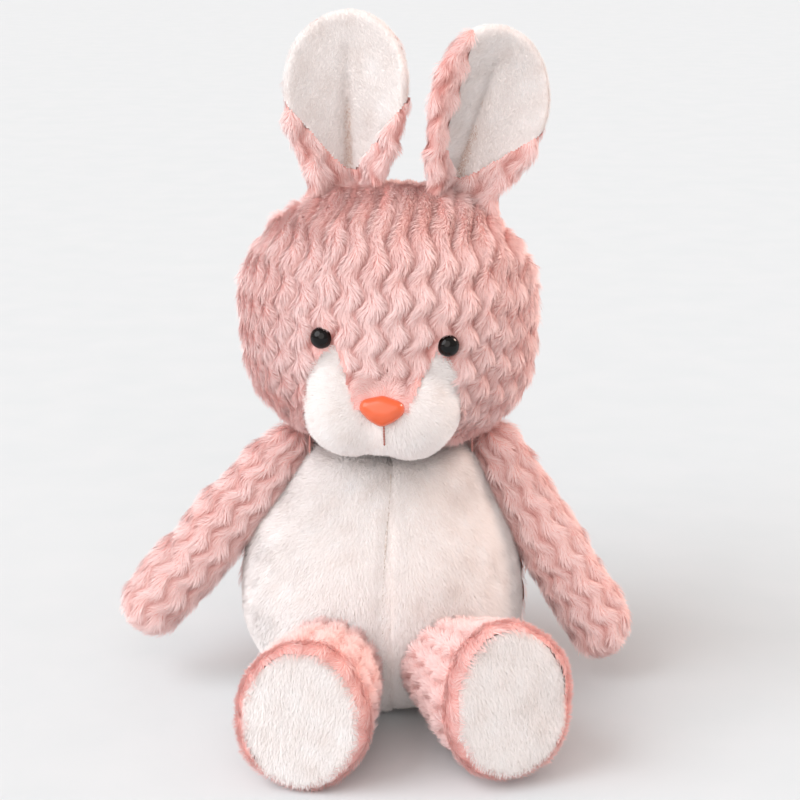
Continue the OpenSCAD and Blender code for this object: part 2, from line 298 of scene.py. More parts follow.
# %% Blades
def blade(name, wide, parts, rise_start, rise_end, twist, tones):
    """A pointed strip one unit long: it leaves the root rising, and bends over towards +X."""
    bm = bmesh.new()
    bmesh.ops.create_grid(bm, x_segments=1, y_segments=parts, size=0.5)
    steps = 24
    for v in bm.verts:
        along = v.co.y + 0.5
        out = up = 0.0
        for i in range(steps):
            part = along * (i + 0.5) / steps
            angle = math.radians(rise_start + (rise_end - rise_start) * part)
            out += math.cos(angle) * along / steps
            up += math.sin(angle) * along / steps
        turn = math.radians(twist) * along + math.radians(twist) * 0.6
        half = v.co.x * wide * (1 - along**1.7)
        lean = math.radians(rise_start + (rise_end - rise_start) * along)
        side = Vector((-math.sin(lean) * math.sin(turn), math.cos(turn), math.cos(lean) * math.sin(turn)))
        v.co = Vector((out, 0, up)) + side * half
    bmesh.ops.remove_doubles(bm, verts=bm.verts, dist=0.0005)
    for face in bm.faces:
        face.smooth = True
    mesh = bpy.data.meshes.new(name)
    bm.to_mesh(mesh)
    bm.free()
    for tone in tones:
        mesh.materials.append(tone)
    return bpy.data.objects.new(name, mesh)


def blade_set(name, wide, parts, rises, tones):
    """Blades of several twists, kept together for the pile to pick from."""
    group = bpy.data.collections.new(name)
    for number, (start, end, twist) in enumerate(rises):
        group.objects.link(blade(f"{name}_{number}", wide, parts, start, end, twist, tones))
    return group


long_blades = blade_set(
    "long_blades", 0.05, 2, [(40, 2, 0), (34, -4, 14), (46, 6, -14), (38, 0, 26)], pink_tones
)
short_blades = blade_set(
    "short_blades", 0.13, 1, [(50, 24, 0), (42, 16, 18), (58, 30, -18), (48, 20, 32)], white_tones
)

# %% [markdown]
# ## Growing the pile
# Geometry Nodes scatters roots over a cover, points each blade along the way the cloth is combed,
# and deals out the tones. The comb, the length and the thickness of the pile come from numbers that
# the cover's own vertices carry. The result is applied, so a pile is plain mesh in the end.


# %% Pile
def pile_nodes(blades, per_mm2, length, stray, tones, seed):
    """The node group that covers a surface with blades."""
    tree = bpy.data.node_groups.new("pile", "GeometryNodeTree")
    for way in ("INPUT", "OUTPUT"):
        tree.interface.new_socket("Geometry", in_out=way, socket_type="NodeSocketGeometry")
    cloth = add(tree, "NodeGroupInput").outputs[0]

    def kept(name, kind="FLOAT"):
        return add(tree, "GeometryNodeInputNamedAttribute", {"Name": name}, data_type=kind).outputs[0]

    def sums(operation, a, b):
        return add(tree, "ShaderNodeMath", {0: a, 1: b}, operation=operation).outputs[0]

    def chance(low, high, salt):
        node = add(tree, "FunctionNodeRandomValue", {2: low, 3: high, "Seed": seed + salt})
        return node.outputs[1]

    density = sums("MULTIPLY", kept("thick"), per_mm2 / mm**2)
    roots = add(
        tree, "GeometryNodeDistributePointsOnFaces", {"Mesh": cloth, "Density": density, "Seed": seed}
    )
    reach = {0: (-stray,) * 3, 1: (stray,) * 3, "Seed": seed + 1}
    spread = add(tree, "FunctionNodeRandomValue", reach, data_type="FLOAT_VECTOR").outputs[0]
    lay = add(tree, "ShaderNodeVectorMath", {0: kept("lay", "FLOAT_VECTOR"), 1: spread}).outputs[0]
    axes = {"Primary Axis": roots.outputs["Normal"], "Secondary Axis": lay}
    turn = add(tree, "FunctionNodeAxesToRotation", axes, primary_axis="Z", secondary_axis="X").outputs[0]
    # Each strand's tone is the cover's tone, which carries painted shade and painted highlight, plus a random
    # share.
    tone = sums("ADD", sums("MULTIPLY", kept("tone"), tones - 1.0), chance(0.1, 0.9, 2))
    tone = sums("MINIMUM", sums("MAXIMUM", tone, 0.0), tones - 0.51)
    shade = {"Geometry": roots.outputs["Points"], "Name": "shade", "Value": sums("FLOOR", tone, 0.0)}
    marked = add(tree, "GeometryNodeStoreNamedAttribute", shade, data_type="INT", domain="POINT").outputs[0]
    size = sums("MULTIPLY", sums("MULTIPLY", kept("long"), length), chance(0.72, 1.2, 3))
    apart = {"Collection": blades, "Separate Children": True, "Reset Children": True}
    picks = add(tree, "GeometryNodeCollectionInfo", apart).outputs[0]
    bounds = {4: 0, 5: len(blades.objects) - 1, "Seed": seed + 4}
    which = add(tree, "FunctionNodeRandomValue", bounds, data_type="INT").outputs[2]
    plants = {"Points": marked, "Instance": picks, "Pick Instance": True, "Instance Index": which}
    plants.update({"Rotation": turn, "Scale": size})
    planted = add(tree, "GeometryNodeInstanceOnPoints", plants).outputs[0]
    real = add(tree, "GeometryNodeRealizeInstances", {"Geometry": planted}).outputs[0]
    shades = {"Geometry": real, "Material Index": kept("shade", "INT")}
    toned = add(tree, "GeometryNodeSetMaterialIndex", shades).outputs[0]
    add(tree, "NodeGroupOutput", {0: toned})
    return tree


def grow(name, cover, body, slot, blades, per_mm2, length, stray, tones, seed):
    """A piece of pile on the cover. It moves with the same body as the cover."""
    pile = put(name, cover.data.copy())
    pile.modifiers.new("pile", "NODES").node_group = pile_nodes(blades, per_mm2, length, stray, tones, seed)
    settle(pile)
    for layer in ("lay", "tone", "long", "thick", "ridge", "shade"):
        if layer in pile.data.attributes:
            pile.data.attributes.remove(pile.data.attributes[layer])
    co, _ = points(pile)
    co[:, 2] = np.maximum(co[:, 2], 0.15 * mm)
    move(pile, co)
    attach(pile, body)
    print(f"{name}: {len(pile.data.polygons)} faces")
    return pile


# %% [markdown]
# ## The wave of the pink plush
# The pink plush is woven in ribs about 10 mm apart that swing from side to side as they run down.
# Where a rib leans one way its neighbour presses against it and the groove between them is deep, and
# where it leans back the groove closes. That gives the staggered, knitted look. One function works it
# out from two lengths on the cloth, across the ribs and along them.

# %% Wave
rib_pitch, rib_wave, rib_swing, rib_height = 9.8 * mm, 14 * mm, 1.3 * mm, 3.4 * mm


def ribs(across, along, seed):
    """The rib's height from 0 to 1, and how far its lay leans across, at each point of the cloth."""
    rng = np.random.default_rng(seed)
    late = rng.uniform(-1.3, 1.3, 400)[np.round(across / rib_pitch).astype(int) % 400]
    line = 2 * math.pi * along / rib_wave + late
    shifted = across + rib_swing * np.sin(line)
    off = 2 * math.pi * shifted / rib_pitch
    groove = (0.5 + 0.5 * np.cos(off)) ** 2.2
    dash = 0.6 + 0.4 * (0.5 + 0.5 * np.cos(line))
    lock = 0.16 * np.sin(line + off) * (1 - groove)
    lean = -rib_swing * 2 * math.pi / rib_wave * np.cos(line) - 0.2 * np.sin(off)
    return np.clip(1 - groove * dash + lock, 0, 1.15), lean


print("ribs every", rib_pitch / mm, "mm")


# %% [markdown]
# ## Dressing a cover
# Each cover is made in its own upright frame, then pushed out along its ribs, given its comb, and set
# in its place on the rabbit. "Down" is the way the cloth is combed in that frame.


# %% Dress
def dress(obj, down, across, along, ribbed, seed, lump=0.5 * mm, wander=0.15, calm=None, relief=1, pale=0):
    """Shapes the ribs and stores what the pile needs: comb, tone, length and thickness. On ribbed cloth the
    tone is painted shade in the grooves and painted highlight on the ribs' tops.
    """
    co, no = points(obj)
    u, v = across(co), along(co)
    if ribbed:
        height, lean = ribs(u, v, seed)
        if calm is not None:
            height = height * calm(co) + 0.75 * (1 - calm(co))
        raised = (height - 0.5) * rib_height * relief
        # The tone follows the rib's height: painted shade in the grooves and painted highlight on the ribs'
        # tops, plus a soft random wander.
        tone = np.clip(height, 0, 1) ** 1.4 * 0.95 + 0.1 * smooth_noise(co, 14 * mm, seed + 9)
    else:
        height = np.ones(len(co))
        lean = 0.3 * smooth_noise(co, 12 * mm, seed + 8)
        raised = np.zeros(len(co))
        tone = 0.66 + 0.16 * smooth_noise(co, 5 * mm, seed + 9)
    raised = raised + lump * smooth_noise(co, 13 * mm, seed)
    down = np.broadcast_to(down(co) if callable(down) else down, co.shape)
    run = down - (no * down).sum(1)[:, None] * no
    run /= np.linalg.norm(run, axis=1)[:, None] + 1e-6
    side = np.cross(no, run)
    side *= np.sign(across(co + side * 0.1 * mm) - u)[:, None]
    lay = run + side * lean[:, None]
    for axis in range(3):
        lay[:, axis] += wander * smooth_noise(co, 4.5 * mm, seed + 20 + axis)
    move(obj, co + no * raised[:, None])
    tell(obj, "lay", lay)
    tell(obj, "ridge", height)
    # pale lifts every tone of the cover: painted light.
    tell(obj, "tone", np.clip(tone + pale, 0, 1))
    tell(obj, "long", 0.7 + 0.3 * height)
    tell(obj, "thick", np.ones(len(co)))
    return obj


def combs(obj):
    """The way the pile is combed at each vertex."""
    out = np.zeros(len(obj.data.vertices) * 3)
    obj.data.attributes["lay"].data.foreach_get("vector", out)
    return out.reshape(-1, 3)


def comb(obj, lay):
    """Writes the way the pile is combed."""
    flat = np.ascontiguousarray(lay, dtype=np.float32).ravel()
    obj.data.attributes["lay"].data.foreach_set("vector", flat)


def numbers(obj, name):
    """The numbers that a layer of the object holds."""
    out = np.zeros(len(obj.data.vertices))
    obj.data.attributes[name].data.foreach_get("value", out)
    return out


def change(obj, name, values):
    """Writes new numbers into a layer of the object."""
    obj.data.attributes[name].data.foreach_set("value", np.ascontiguousarray(values, dtype=np.float32))


def scale(obj, name, share):
    """Multiplies the numbers of a layer by a share for each vertex."""
    change(obj, name, numbers(obj, name) * share)


def place(obj, matrix):
    """Moves a finished cover to its place, and its comb with it."""
    obj.data.transform(matrix)
    if "lay" in obj.data.attributes:
        comb(obj, combs(obj) @ np.array(matrix.to_3x3()).T)
    obj.data.update()
    return obj


def remesh(obj, voxel, rounds=2):
    """Even small squares all over, and a little smoothing."""
    modifier = obj.modifiers.new("even", "REMESH")
    modifier.mode = "VOXEL"
    modifier.voxel_size = voxel
    settle(obj)
    bm = bmesh.new()
    bm.from_mesh(obj.data)
    for _ in range(rounds):
        bmesh.ops.smooth_vert(
            bm, verts=bm.verts, factor=0.5, use_axis_x=True, use_axis_y=True, use_axis_z=True
        )
    for face in bm.faces:
        face.smooth = True
    bm.to_mesh(obj.data)
    bm.free()
    return obj


def part_of(obj, name, inside):
    """A copy of the object with only the faces whose middle is inside."""
    bm = bmesh.new()
    bm.from_mesh(obj.data)
    middles = np.array([face.calc_center_median() for face in bm.faces])
    keep = inside(middles)
    bmesh.ops.delete(bm, geom=[f for f, k in zip(bm.faces, keep) if not k], context="FACES")
    return made(name, bm)


pink_finish = ("pink_plush", pink_backing)
white_finish = ("white_plush", white_backing)


def finish_cover(obj, body, nodes, slot, material, fill):
    """Gives the cover its material, hangs it on its body and hides the CAD nodes it stands for."""
    co, _ = points(obj)
    co[:, 2] = np.maximum(co[:, 2], 0.1 * mm)
    move(obj, co)
    obj.data.materials.clear()
    obj.data.materials.append(material)
    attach(obj, body)
    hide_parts(*nodes)
    print(f"{obj.name}: {len(obj.data.polygons)} faces")
    return obj


# %% [markdown]
# ## Combing
# Near the nose the pile of a sewn head fans out from it, because the cloth is pulled in there. The
# comb of a cover can be turned away from such a point, by a share that may differ at each vertex.

# %% Comb
def comb_from(obj, centre, share):
    """Turns the comb of a cover away from a point, by a share."""
    co, _ = points(obj)
    away = co - centre
    away /= np.linalg.norm(away, axis=1)[:, None] + 1e-6
    comb(obj, combs(obj) * (1 - share) + away * share)


print("a cover's comb can be turned away from a point")


# %% [markdown]
# ## Head
# The head is a stuffed bag of a few panels, fuller than a ball, with two round cheeks under the nose
# where the white muzzle is let in. It starts as a ball whose points are pushed to a rounded-box
# curve. The cheeks, and a smaller ball between them that softens the cleft, are joined in with a
# voxel remesh. The white zone is cut out of the front as a separate piece. The ribs run over the
# crown and down the front and back.

# %% Head form
head_r, head_up, head_low = 60 * mm, 53.5 * mm, 50.5 * mm
power_up, power_down = 2.2, 2.8
lobe_r, lobe_x, lobe_y, lobe_z = 21 * mm, 11 * mm, -47 * mm, -27 * mm
head_matrix = Matrix.Translation((0, 0, 161 * mm)) @ turned(-3, "Z") @ turned(3, "Y")
skin = 1.0 * mm


def head_point(co, inset):
    """Moves points of a unit ball to the head's oval."""
    up = co[:, 2] > 0
    power = np.where(up, power_up, power_down)
    high = np.where(up, head_up, head_low) - inset
    tilt = np.arcsin(np.clip(co[:, 2], -1, 1))
    flat = (head_r - inset) * np.cos(tilt) ** (2 / power)
    turn = np.arctan2(co[:, 1], co[:, 0])
    tall = np.sign(co[:, 2]) * high * np.abs(np.sin(tilt)) ** (2 / power)
    deep = flat * np.sin(turn)
    deep = np.where(deep > 0, deep * 0.93, deep)
    return np.stack([flat * np.cos(turn), deep, tall], 1)


def head_form(name, inset, voxel):
    """The head's whole form, drawn in by inset: oval and cheeks in one skin."""
    bm = bmesh.new()
    bmesh.ops.create_icosphere(bm, subdivisions=5, radius=1)
    ball = np.array([v.co for v in bm.verts])
    ball /= np.linalg.norm(ball, axis=1)[:, None]
    for v, co in zip(bm.verts, head_point(ball, inset)):
        v.co = co
    for x, r in ((-lobe_x, lobe_r), (0, lobe_r - 0.8 * mm), (lobe_x, lobe_r)):
        spot = Matrix.Translation((x, lobe_y, lobe_z))
        bmesh.ops.create_icosphere(bm, subdivisions=4, radius=r - inset, matrix=spot)
    return remesh(made(name, bm), voxel, 4)


def muzzle_zone(co):
    """True inside the white muzzle, seen from the front: cheeks with a horn up to each eye."""
    x, z = np.abs(co[:, 0] - 1.2 * mm) / mm, co[:, 2] / mm
    rise_part = np.clip((z + 27) / 29, 0, 1)
    fall_part = np.clip(-(z + 27) / 22.5, 0, 1)
    outer = np.where(z > -27, 29.5 * (1 - rise_part**2.7) ** (1 / 2.7), 29.5 * (1 - fall_part**3) ** (1 / 3))
    inner = np.where(z > -24, 10 + (z + 24) * 9.5 / 22, 0)
    return (x < outer) & (x > inner) & (z < 1) & (z > -49.5) & (co[:, 1] < 0)


head = head_form("head_form", skin, 1.25 * mm)
co, _ = points(head)
fuller = np.clip(-co[:, 0] / (45 * mm), 0, 1) * bell(co[:, 2], 22 * mm, 24 * mm)
co[:, 0] -= 2.6 * mm * fuller
move(head, co)
print("head form:", len(head.data.polygons), "faces")


# %% Head covers
def head_across(co):
    crown = 0.8 * np.maximum(co[:, 2], 0)
    return head_r * np.arctan2(co[:, 0], np.hypot(co[:, 1], crown))


def head_down(co):
    """Down the front from the crown, and down the back from the crown."""
    tilt = np.clip(co[:, 1] / (30 * mm), -1, 1) * 1.3
    return np.stack([np.zeros(len(co)), tilt, -np.ones(len(co))], 1)


def head_along(co):
    return -1.1 * co[:, 2] + 0.25 * (head_r - np.hypot(co[:, 0], co[:, 1]))


eye_spots = [np.array([side * 24.5 * mm + 0.7 * mm, -54.3 * mm, 0.5 * mm]) for side in (-1, 1)]
nose_spot = np.array([1.6 * mm, -64.9 * mm, -24 * mm])
white_muzzle = part_of(head, "muzzle_cloth", muzzle_zone)
pink_head = part_of(head, "head_cloth", lambda co: ~muzzle_zone(co))


def calm_by_nose(co):
    """0 at the nose, where the cloth is drawn tight and has no ribs; low on the crown; 1 elsewhere."""
    off_nose = np.clip((far_from(co, nose_spot) - 6 * mm) / (9 * mm), 0, 1)
    return off_nose * np.clip((58 * mm - co[:, 2]) / (18 * mm), 0.35, 1)


dress(pink_head, head_down, head_across, head_along, True, 11, calm=calm_by_nose, relief=0.9)
co, _ = points(pink_head)
short = np.ones(len(co))
for spot in eye_spots:
    short = np.minimum(short, np.clip((far_from(co, spot) - 1 * mm) / (9 * mm), 0.45, 1))
short = np.minimum(short, np.clip(far_from(co, nose_spot) / (18 * mm), 0.85, 1))
for below in (3, 6):
    short = np.where(muzzle_zone(co - np.array([0, 0, below * mm])), 0.5, short)
scale(pink_head, "long", short)
bare = np.ones(len(co))
for spot in eye_spots:
    bare = np.minimum(bare, np.clip((far_from(co, spot) - 2.8 * mm) / (1.0 * mm), 0, 1))
change(pink_head, "thick", bare)
near_nose = bell(far_from(co, nose_spot), 0, 15 * mm)
comb_from(pink_head, nose_spot, 0.95 * near_nose[:, None])

# %% [markdown]
# The muzzle's short pile is combed outwards from the nose, and it lies flatter along the mouth.


# %% Muzzle cover
dress(white_muzzle, (0, 0, -1), head_across, head_along, False, 12, lump=0.25 * mm)
comb_from(white_muzzle, nose_spot, 0.7)
co, _ = points(white_muzzle)
beside = np.abs(co[:, 0]) / mm
mouth = (co[:, 2] < -26 * mm) & (co[:, 2] > -41 * mm)
change(white_muzzle, "thick", np.where(mouth, np.clip((beside - 0.5) / 1.2, 0, 1), 1))
change(white_muzzle, "long", np.where(mouth, np.clip(0.35 + beside / 8, 0.35, 1), 1))
place(pink_head, head_matrix)
place(white_muzzle, head_matrix)
finish_cover(pink_head, "head", ["head_cover"], *pink_finish, 0.85)
finish_cover(white_muzzle, "head", ["muzzle_cover"], *white_finish, 0.85)
bpy.data.objects.remove(head)


# %% Head pile
def half_pile(cover, name, faces, **settings):
    """Pile on the part of a cover whose faces pass the test, so that no piece grows too big."""
    part = part_of(cover, name + "_ground", faces)
    pile = grow(name, part, **settings)
    bpy.data.objects.remove(part)
    return pile


pink_pile = dict(
    slot="pink_plush", blades=long_blades, length=5.0 * mm, stray=0.2, tones=len(pink_tones)
)
white_pile = dict(
    slot="white_plush", blades=short_blades, length=2.3 * mm, stray=0.45, tones=len(white_tones)
)
quarters = {
    "front_left": (lambda co: (co[:, 1] < 0) & (co[:, 0] >= 0)),
    "front_right": (lambda co: (co[:, 1] < 0) & (co[:, 0] < 0)),
    "back_left": (lambda co: (co[:, 1] >= 0) & (co[:, 0] >= 0)),
    "back_right": (lambda co: (co[:, 1] >= 0) & (co[:, 0] < 0)),
}
for number, (quarter, faces) in enumerate(quarters.items()):
    thick = 4.8 if "front" in quarter else 2.5
    name = f"head_pile_{quarter}"
    half_pile(pink_head, name, faces, body="head", per_mm2=thick, seed=130 + number, **pink_pile)
grow("muzzle_pile", white_muzzle, body="head", per_mm2=8, seed=33, **white_pile)

# %% [markdown]
# ## Body
# The body is a pear: flat where it sits, widest low down, narrow at the shoulders. Its outline is
# three smooth curves, spun round. A white panel covers the front in two halves with a seam down the
# middle that the stuffing pulls into a soft valley, and a pink panel covers the back.

# %% Body outline
belly_r, belly_z, seat_r = 59.5 * mm, 40 * mm, 38 * mm
shoulder_r, body_h = 36.5 * mm, 107 * mm
shoulder_z = body_h - 6 * mm
neck_r, neck_z = 20 * mm, 92 * mm


def curve_run(a, b, c, d, count):
    """Points along a Bezier curve, without its first."""
    out = []
    for i in range(1, count + 1):
        t = i / count
        parts = ((1 - t) ** 3, 3 * t * (1 - t) ** 2, 3 * t * t * (1 - t), t**3)
        out.append(tuple(sum(k * p[n] for k, p in zip(parts, (a, b, c, d))) for n in (0, 1)))
    return out


def body_outline(g):
    """Half outline of the body as (radius, height), drawn in by g."""
    low = (seat_r - g, g)
    wide = (belly_r - g, belly_z)
    top = (shoulder_r - g, shoulder_z)
    lid = (neck_r, body_h - g)
    run = [(0, g), low]
    run += curve_run(low, (belly_r - 8 * mm - g, g + mm), (belly_r - g, belly_z * 0.45), wide, 8)
    run += curve_run(wide, (belly_r - g, 68 * mm), (shoulder_r + 10 * mm - g, shoulder_z - 18 * mm), top, 8)
    above = (shoulder_r - 2.5 * mm - g, shoulder_z + 4 * mm)
    run += curve_run(top, above, (shoulder_r - 7 * mm - g, lid[1]), lid, 5)
    return run + [(0, lid[1])]


def spun(name, outline, steps=72):
    """A closed form: the outline spun round Z."""
    bm = bmesh.new()
    line = [bm.verts.new((r, 0, z)) for r, z in outline]
    edges = [bm.edges.new(pair) for pair in zip(line, line[1:])]
    bmesh.ops.spin(
        bm, geom=line + edges, axis=(0, 0, 1), cent=(0, 0, 0), steps=steps, angle=2 * math.pi, use_merge=True
    )
    bmesh.ops.remove_doubles(bm, verts=bm.verts, dist=0.01 * mm)
    bmesh.ops.recalc_face_normals(bm, faces=bm.faces)
    return made(name, bm)


def body_form(name, g, voxel):
    """The body with the round neck on top."""
    body = spun(name, body_outline(g))
    bm = bmesh.new()
    bm.from_mesh(body.data)
    spot = Matrix.Translation((0, 0, neck_z))
    bmesh.ops.create_icosphere(bm, subdivisions=4, radius=neck_r - g, matrix=spot)
    bm.to_mesh(body.data)
    bm.free()
    return remesh(body, voxel, 3)


body = body_form("body_form", skin, 1.35 * mm)
print("body form:", len(body.data.polygons), "faces")


# %% Body panels
def body_across(co):
    turn = np.arctan2(co[:, 0], -co[:, 1])
    return belly_r * turn * np.clip(np.hypot(co[:, 0], co[:, 1]) / belly_r, 0.02, 1) ** 0.5


def body_along(co):
    return -co[:, 2] + 0.4 * (belly_r - np.hypot(co[:, 0], co[:, 1]))


seam_line = 3 * mm
seat_edge = 3 * mm


def in_seat(co):
    return (co[:, 2] < seat_edge) & (np.hypot(co[:, 0], co[:, 1]) < seat_r + 1.5 * mm)


slump_by, slump_high = 3.2 * mm, 96 * mm


def sway(obj):
    """Sinks the valley of the belly seam, and lets the body slump a little to its right."""
    co, no = points(obj)
    slump = slump_by * np.sin(math.pi * np.clip(co[:, 2] / slump_high, 0, 1))
    front = (co[:, 1] < 0) * np.clip((co[:, 2] - 4 * mm) / (20 * mm), 0, 1)
    valley = 0.8 * mm * bell(co[:, 0], 0, 2.2 * mm) + 0.7 * mm * bell(co[:, 0], 0, 9 * mm)
    co = co - no * (valley * front)[:, None]
    co[:, 0] -= slump * np.where(co[:, 0] < 0, 1.5, 1)
    move(obj, co)


sway(body)
panels = {
    "belly_panel_left": (lambda co: (co[:, 0] > 0) & (co[:, 1] < seam_line) & ~in_seat(co)),
    "belly_panel_right": (lambda co: (co[:, 0] <= 0) & (co[:, 1] < seam_line) & ~in_seat(co)),
    "back_panel": (lambda co: (co[:, 1] >= seam_line) & ~in_seat(co)),
    "seat_panel": in_seat,
}
covers = {name: part_of(body, name + "_cloth", inside) for name, inside in panels.items()}
bpy.data.objects.remove(body)
for number, side in enumerate(sides):
    panel = dress(covers[f"belly_panel_{side}"], (0, 0, -1), body_across, body_along, False, 41 + number)
    co, _ = points(panel)
    beside = np.abs(co[:, 0]) / mm
    change(panel, "long", np.where(co[:, 1] < 0, np.clip(0.7 + beside / 10, 0.7, 1), 1))
    # Towards the seam the tone falls to the shade tone: painted shade along the seam's valley.
    scale(panel, "tone", np.clip(0.45 + beside / 4, 0.45, 1))
    finish_cover(panel, "torso", [f"belly_panel_{side}"], *white_finish, 0.85)
    grow(f"belly_pile_{side}", panel, body="torso", per_mm2=6.5, seed=43 + number, **white_pile)
back = dress(covers["back_panel"], (0, 0, -1), body_across, body_along, True, 51)
finish_cover(back, "torso", ["back_panel"], *pink_finish, 0.85)
grow("back_pile", back, body="torso", per_mm2=1.8, seed=52, **pink_pile)
seat = covers["seat_panel"]
co, _ = points(seat)
tell(seat, "ridge", 0.6 + 0.3 * smooth_noise(co, 8 * mm, 53))
finish_cover(seat, "torso", ["seat_panel"], "seat_cloth", pink_backing, 0.85)

# %% [markdown]
# The belly's seam is a row of short thread stitches sunk in the valley. Each stitch is a stretched
# ball that follows the body's outline, one beside the next.


# %% Belly stitches
def stitch_row(name, line, thick, body, node, material):
    """A row of stitches along a line of points, one stitch for each step."""
    bm = bmesh.new()
    for start, end in zip(line, line[1:]):
        start, end = Vector(start), Vector(end)
        turn = Vector((0, 0, 1)).rotation_difference(end - start).to_matrix().to_4x4()
        size = Matrix.Diagonal((thick, thick, (end - start).length * 0.56, 1))
        spot = Matrix.Translation((start + end) / 2) @ turn @ size
        bmesh.ops.create_uvsphere(bm, u_segments=8, v_segments=6, radius=1, matrix=spot)
    row = made(name, bm, soft=True)
    row.data.materials.append(material)
    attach(row, body)
    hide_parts(node)
    print(f"{name}: {len(line) - 1} stitches")
    return row


# The thread is greyer than the white cloth, partly painted shade, so that the seam reads as a shadow line.
thread_grey_and_painted_shade = plain_cloth("polyester_thread_grey", "#c4b6ad", "#d6cac2", 0.6 * mm, 0.7)
profile = body_outline(2.6 * mm)[2:-6]
steps = np.linspace(0, len(profile) - 1, 46)
seam = [(0, -np.interp(t, range(len(profile)), [p[0] for p in profile]),
         np.interp(t, range(len(profile)), [p[1] for p in profile])) for t in steps]
seam = [(-slump_by * math.sin(math.pi * min(z / slump_high, 1)), y, z) for _, y, z in seam]
stitch_row("belly_stitches", seam, 0.35 * mm, "torso", "belly_seam", thread_grey_and_painted_shade)

# %% [markdown]
# ## Arms and legs
# A limb is a tube sewn to a round end. An arm is thickest past its middle and ends in a plain round
# paw. A leg widens to a big oval foot whose white sole is let in flat, and the pink pile stands up in
# a ring round it. Both are an outline spun round the limb's own axis, then flattened or made oval.

# %% Arm covers
arm_reach, arm_root, paw_r = 101 * mm, 11 * mm, 14 * mm
arm_out = {"left": 31, "right": 41}
side_of = {"left": 1, "right": -1}


def mirrored(side):
    """The left limb's frame as it is, or mirrored for the right."""
    return Matrix.Diagonal((side_of[side], 1, 1, 1))


def arm_matrix(side):
    place_it = Matrix.Translation((shoulder_r + 7 * mm, 0, body_h - 5 * mm))
    lean = turned(-5, "X") @ turned(180 - arm_out[side], "Y")
    return mirrored(side) @ place_it @ lean


def limb_outline(root, stations, tip, reach, g):
    """Outline of a round-ended limb: root ball, given stations (share of length, radius), round tip."""
    run = [(0, -root + g)]
    run += [((root - g) * math.sin(a), -(root - g) * math.cos(a)) for a in np.radians((25, 50, 75))]
    run += [(r - g, share * reach) for share, r in stations]
    centre = reach - tip
    run += [((tip - g) * math.cos(a), centre + (tip - g) * math.sin(a)) for a in np.radians((15, 35, 55, 72))]
    return run + [(0, reach - g)]


arm_stations = [(0.06, 11.6 * mm), (0.2, 12.6 * mm), (0.4, 13.4 * mm), (0.6, 13.6 * mm), (0.78, 13.9 * mm)]


def limb_across(width):
    """Length round a limb from its front."""
    return lambda co: width * np.arctan2(co[:, 0], -co[:, 1])


def limb_along(co):
    return co[:, 2]


def flip_open(obj):
    """Turns the faces back outwards on a mirrored piece."""
    bm = bmesh.new()
    bm.from_mesh(obj.data)
    bmesh.ops.reverse_faces(bm, faces=bm.faces)
    bm.to_mesh(obj.data)
    bm.free()


def set_limb(obj, side, matrix):
    """Places a limb's piece, and turns its faces outwards again on the mirrored side."""
    place(obj, matrix)
    if side == "right":
        flip_open(obj)
    return obj


loose = dict(relief=0.6, wander=0.35)
for number, side in enumerate(sides):
    arm = spun(f"arm_{side}_cloth", limb_outline(arm_root, arm_stations, paw_r, arm_reach, skin), 48)
    remesh(arm, 1.25 * mm, 3)
    dress(arm, (0, 0, 1), limb_across(14 * mm), limb_along, True, 61 + number, lump=0.9 * mm, **loose)
    set_limb(arm, side, arm_matrix(side))
    finish_cover(arm, f"arm_{side}", [f"arm_{side}_cover"], *pink_finish, 0.8)
    grow(f"arm_{side}_pile", arm, body=f"arm_{side}", per_mm2=3.4, seed=63 + number, **pink_pile)

# %% Leg covers
leg_len, leg_ball_r, foot_r, sole_r = 70 * mm, 19.5 * mm, 28 * mm, 24 * mm
leg_out = {"left": 20, "right": 9}
sole_pile = dict(white_pile, length=2.6 * mm)
foot_lift = {"left": 4 * mm, "right": 0.8 * mm}
hip = (23 * mm, -(belly_r - 11 * mm), 25 * mm)


def leg_matrix(side):
    slope = math.degrees(math.asin((foot_r + foot_lift[side] - hip[2]) / leg_len))
    turn = turned(leg_out[side], "Z") @ turned(90 - slope, "X")
    return mirrored(side) @ Matrix.Translation(hip) @ turn


leg_stations = [(0.15, 20.4), (0.4, 22.6), (0.62, 25.2), (0.8, 27.2)]


def leg_outline(g):
    """Outline of a leg: hip ball, widening shin, round edge, and a sole that is slightly domed."""
    run = [(0, -leg_ball_r + g)]
    ball = leg_ball_r - g
    run += [(ball * math.sin(a), -ball * math.cos(a)) for a in np.radians((25, 50, 75))]
    run += [(r * mm - g, share * leg_len) for share, r in leg_stations]
    edge, rise_to = 6 * mm, leg_len - 6 * mm
    run += [(foot_r - edge + (edge - g) * math.cos(a), rise_to + (edge - g) * math.sin(a))
            for a in np.radians((0, 30, 60, 85))]
    run += [(sole_r * 0.5, leg_len + 0.8 * mm - g), (0, leg_len + 1.4 * mm - g)]
    return run


foot_rise = {"left": 1.26, "right": 1.09}


def oval_foot(obj, side):
    """Makes the foot an upright oval: a little narrower, and higher above the limb's axis than below."""
    co, _ = points(obj)
    share = np.clip(co[:, 2] / leg_len, 0, 1)
    co[:, 0] *= 1 - 0.09 * share
    co[:, 1] *= np.where(co[:, 1] > 0, 1 + (foot_rise[side] - 1) * share**2, 1)
    move(obj, co)


def in_sole(co, side):
    """True on the flat end of the foot."""
    high = co[:, 1] / np.where(co[:, 1] > 0, foot_rise[side], 1)
    return (co[:, 2] > leg_len - 5 * mm) & (np.hypot(co[:, 0] / 0.94, high * 0.945) < sole_r - 0.7 * mm)


def leg_down(co):
    """The leg's pile is combed back to the body, except for the ring round the sole, which stands over it."""
    down = np.zeros((len(co), 3))
    down[:, 2] = np.clip((co[:, 2] - leg_len + 11 * mm) / (5 * mm), -1, 1)
    return down


def calm_by_sole(co):
    """Softer ribs towards the sole."""
    return np.clip((leg_len - co[:, 2]) / (16 * mm), 0.15, 1)


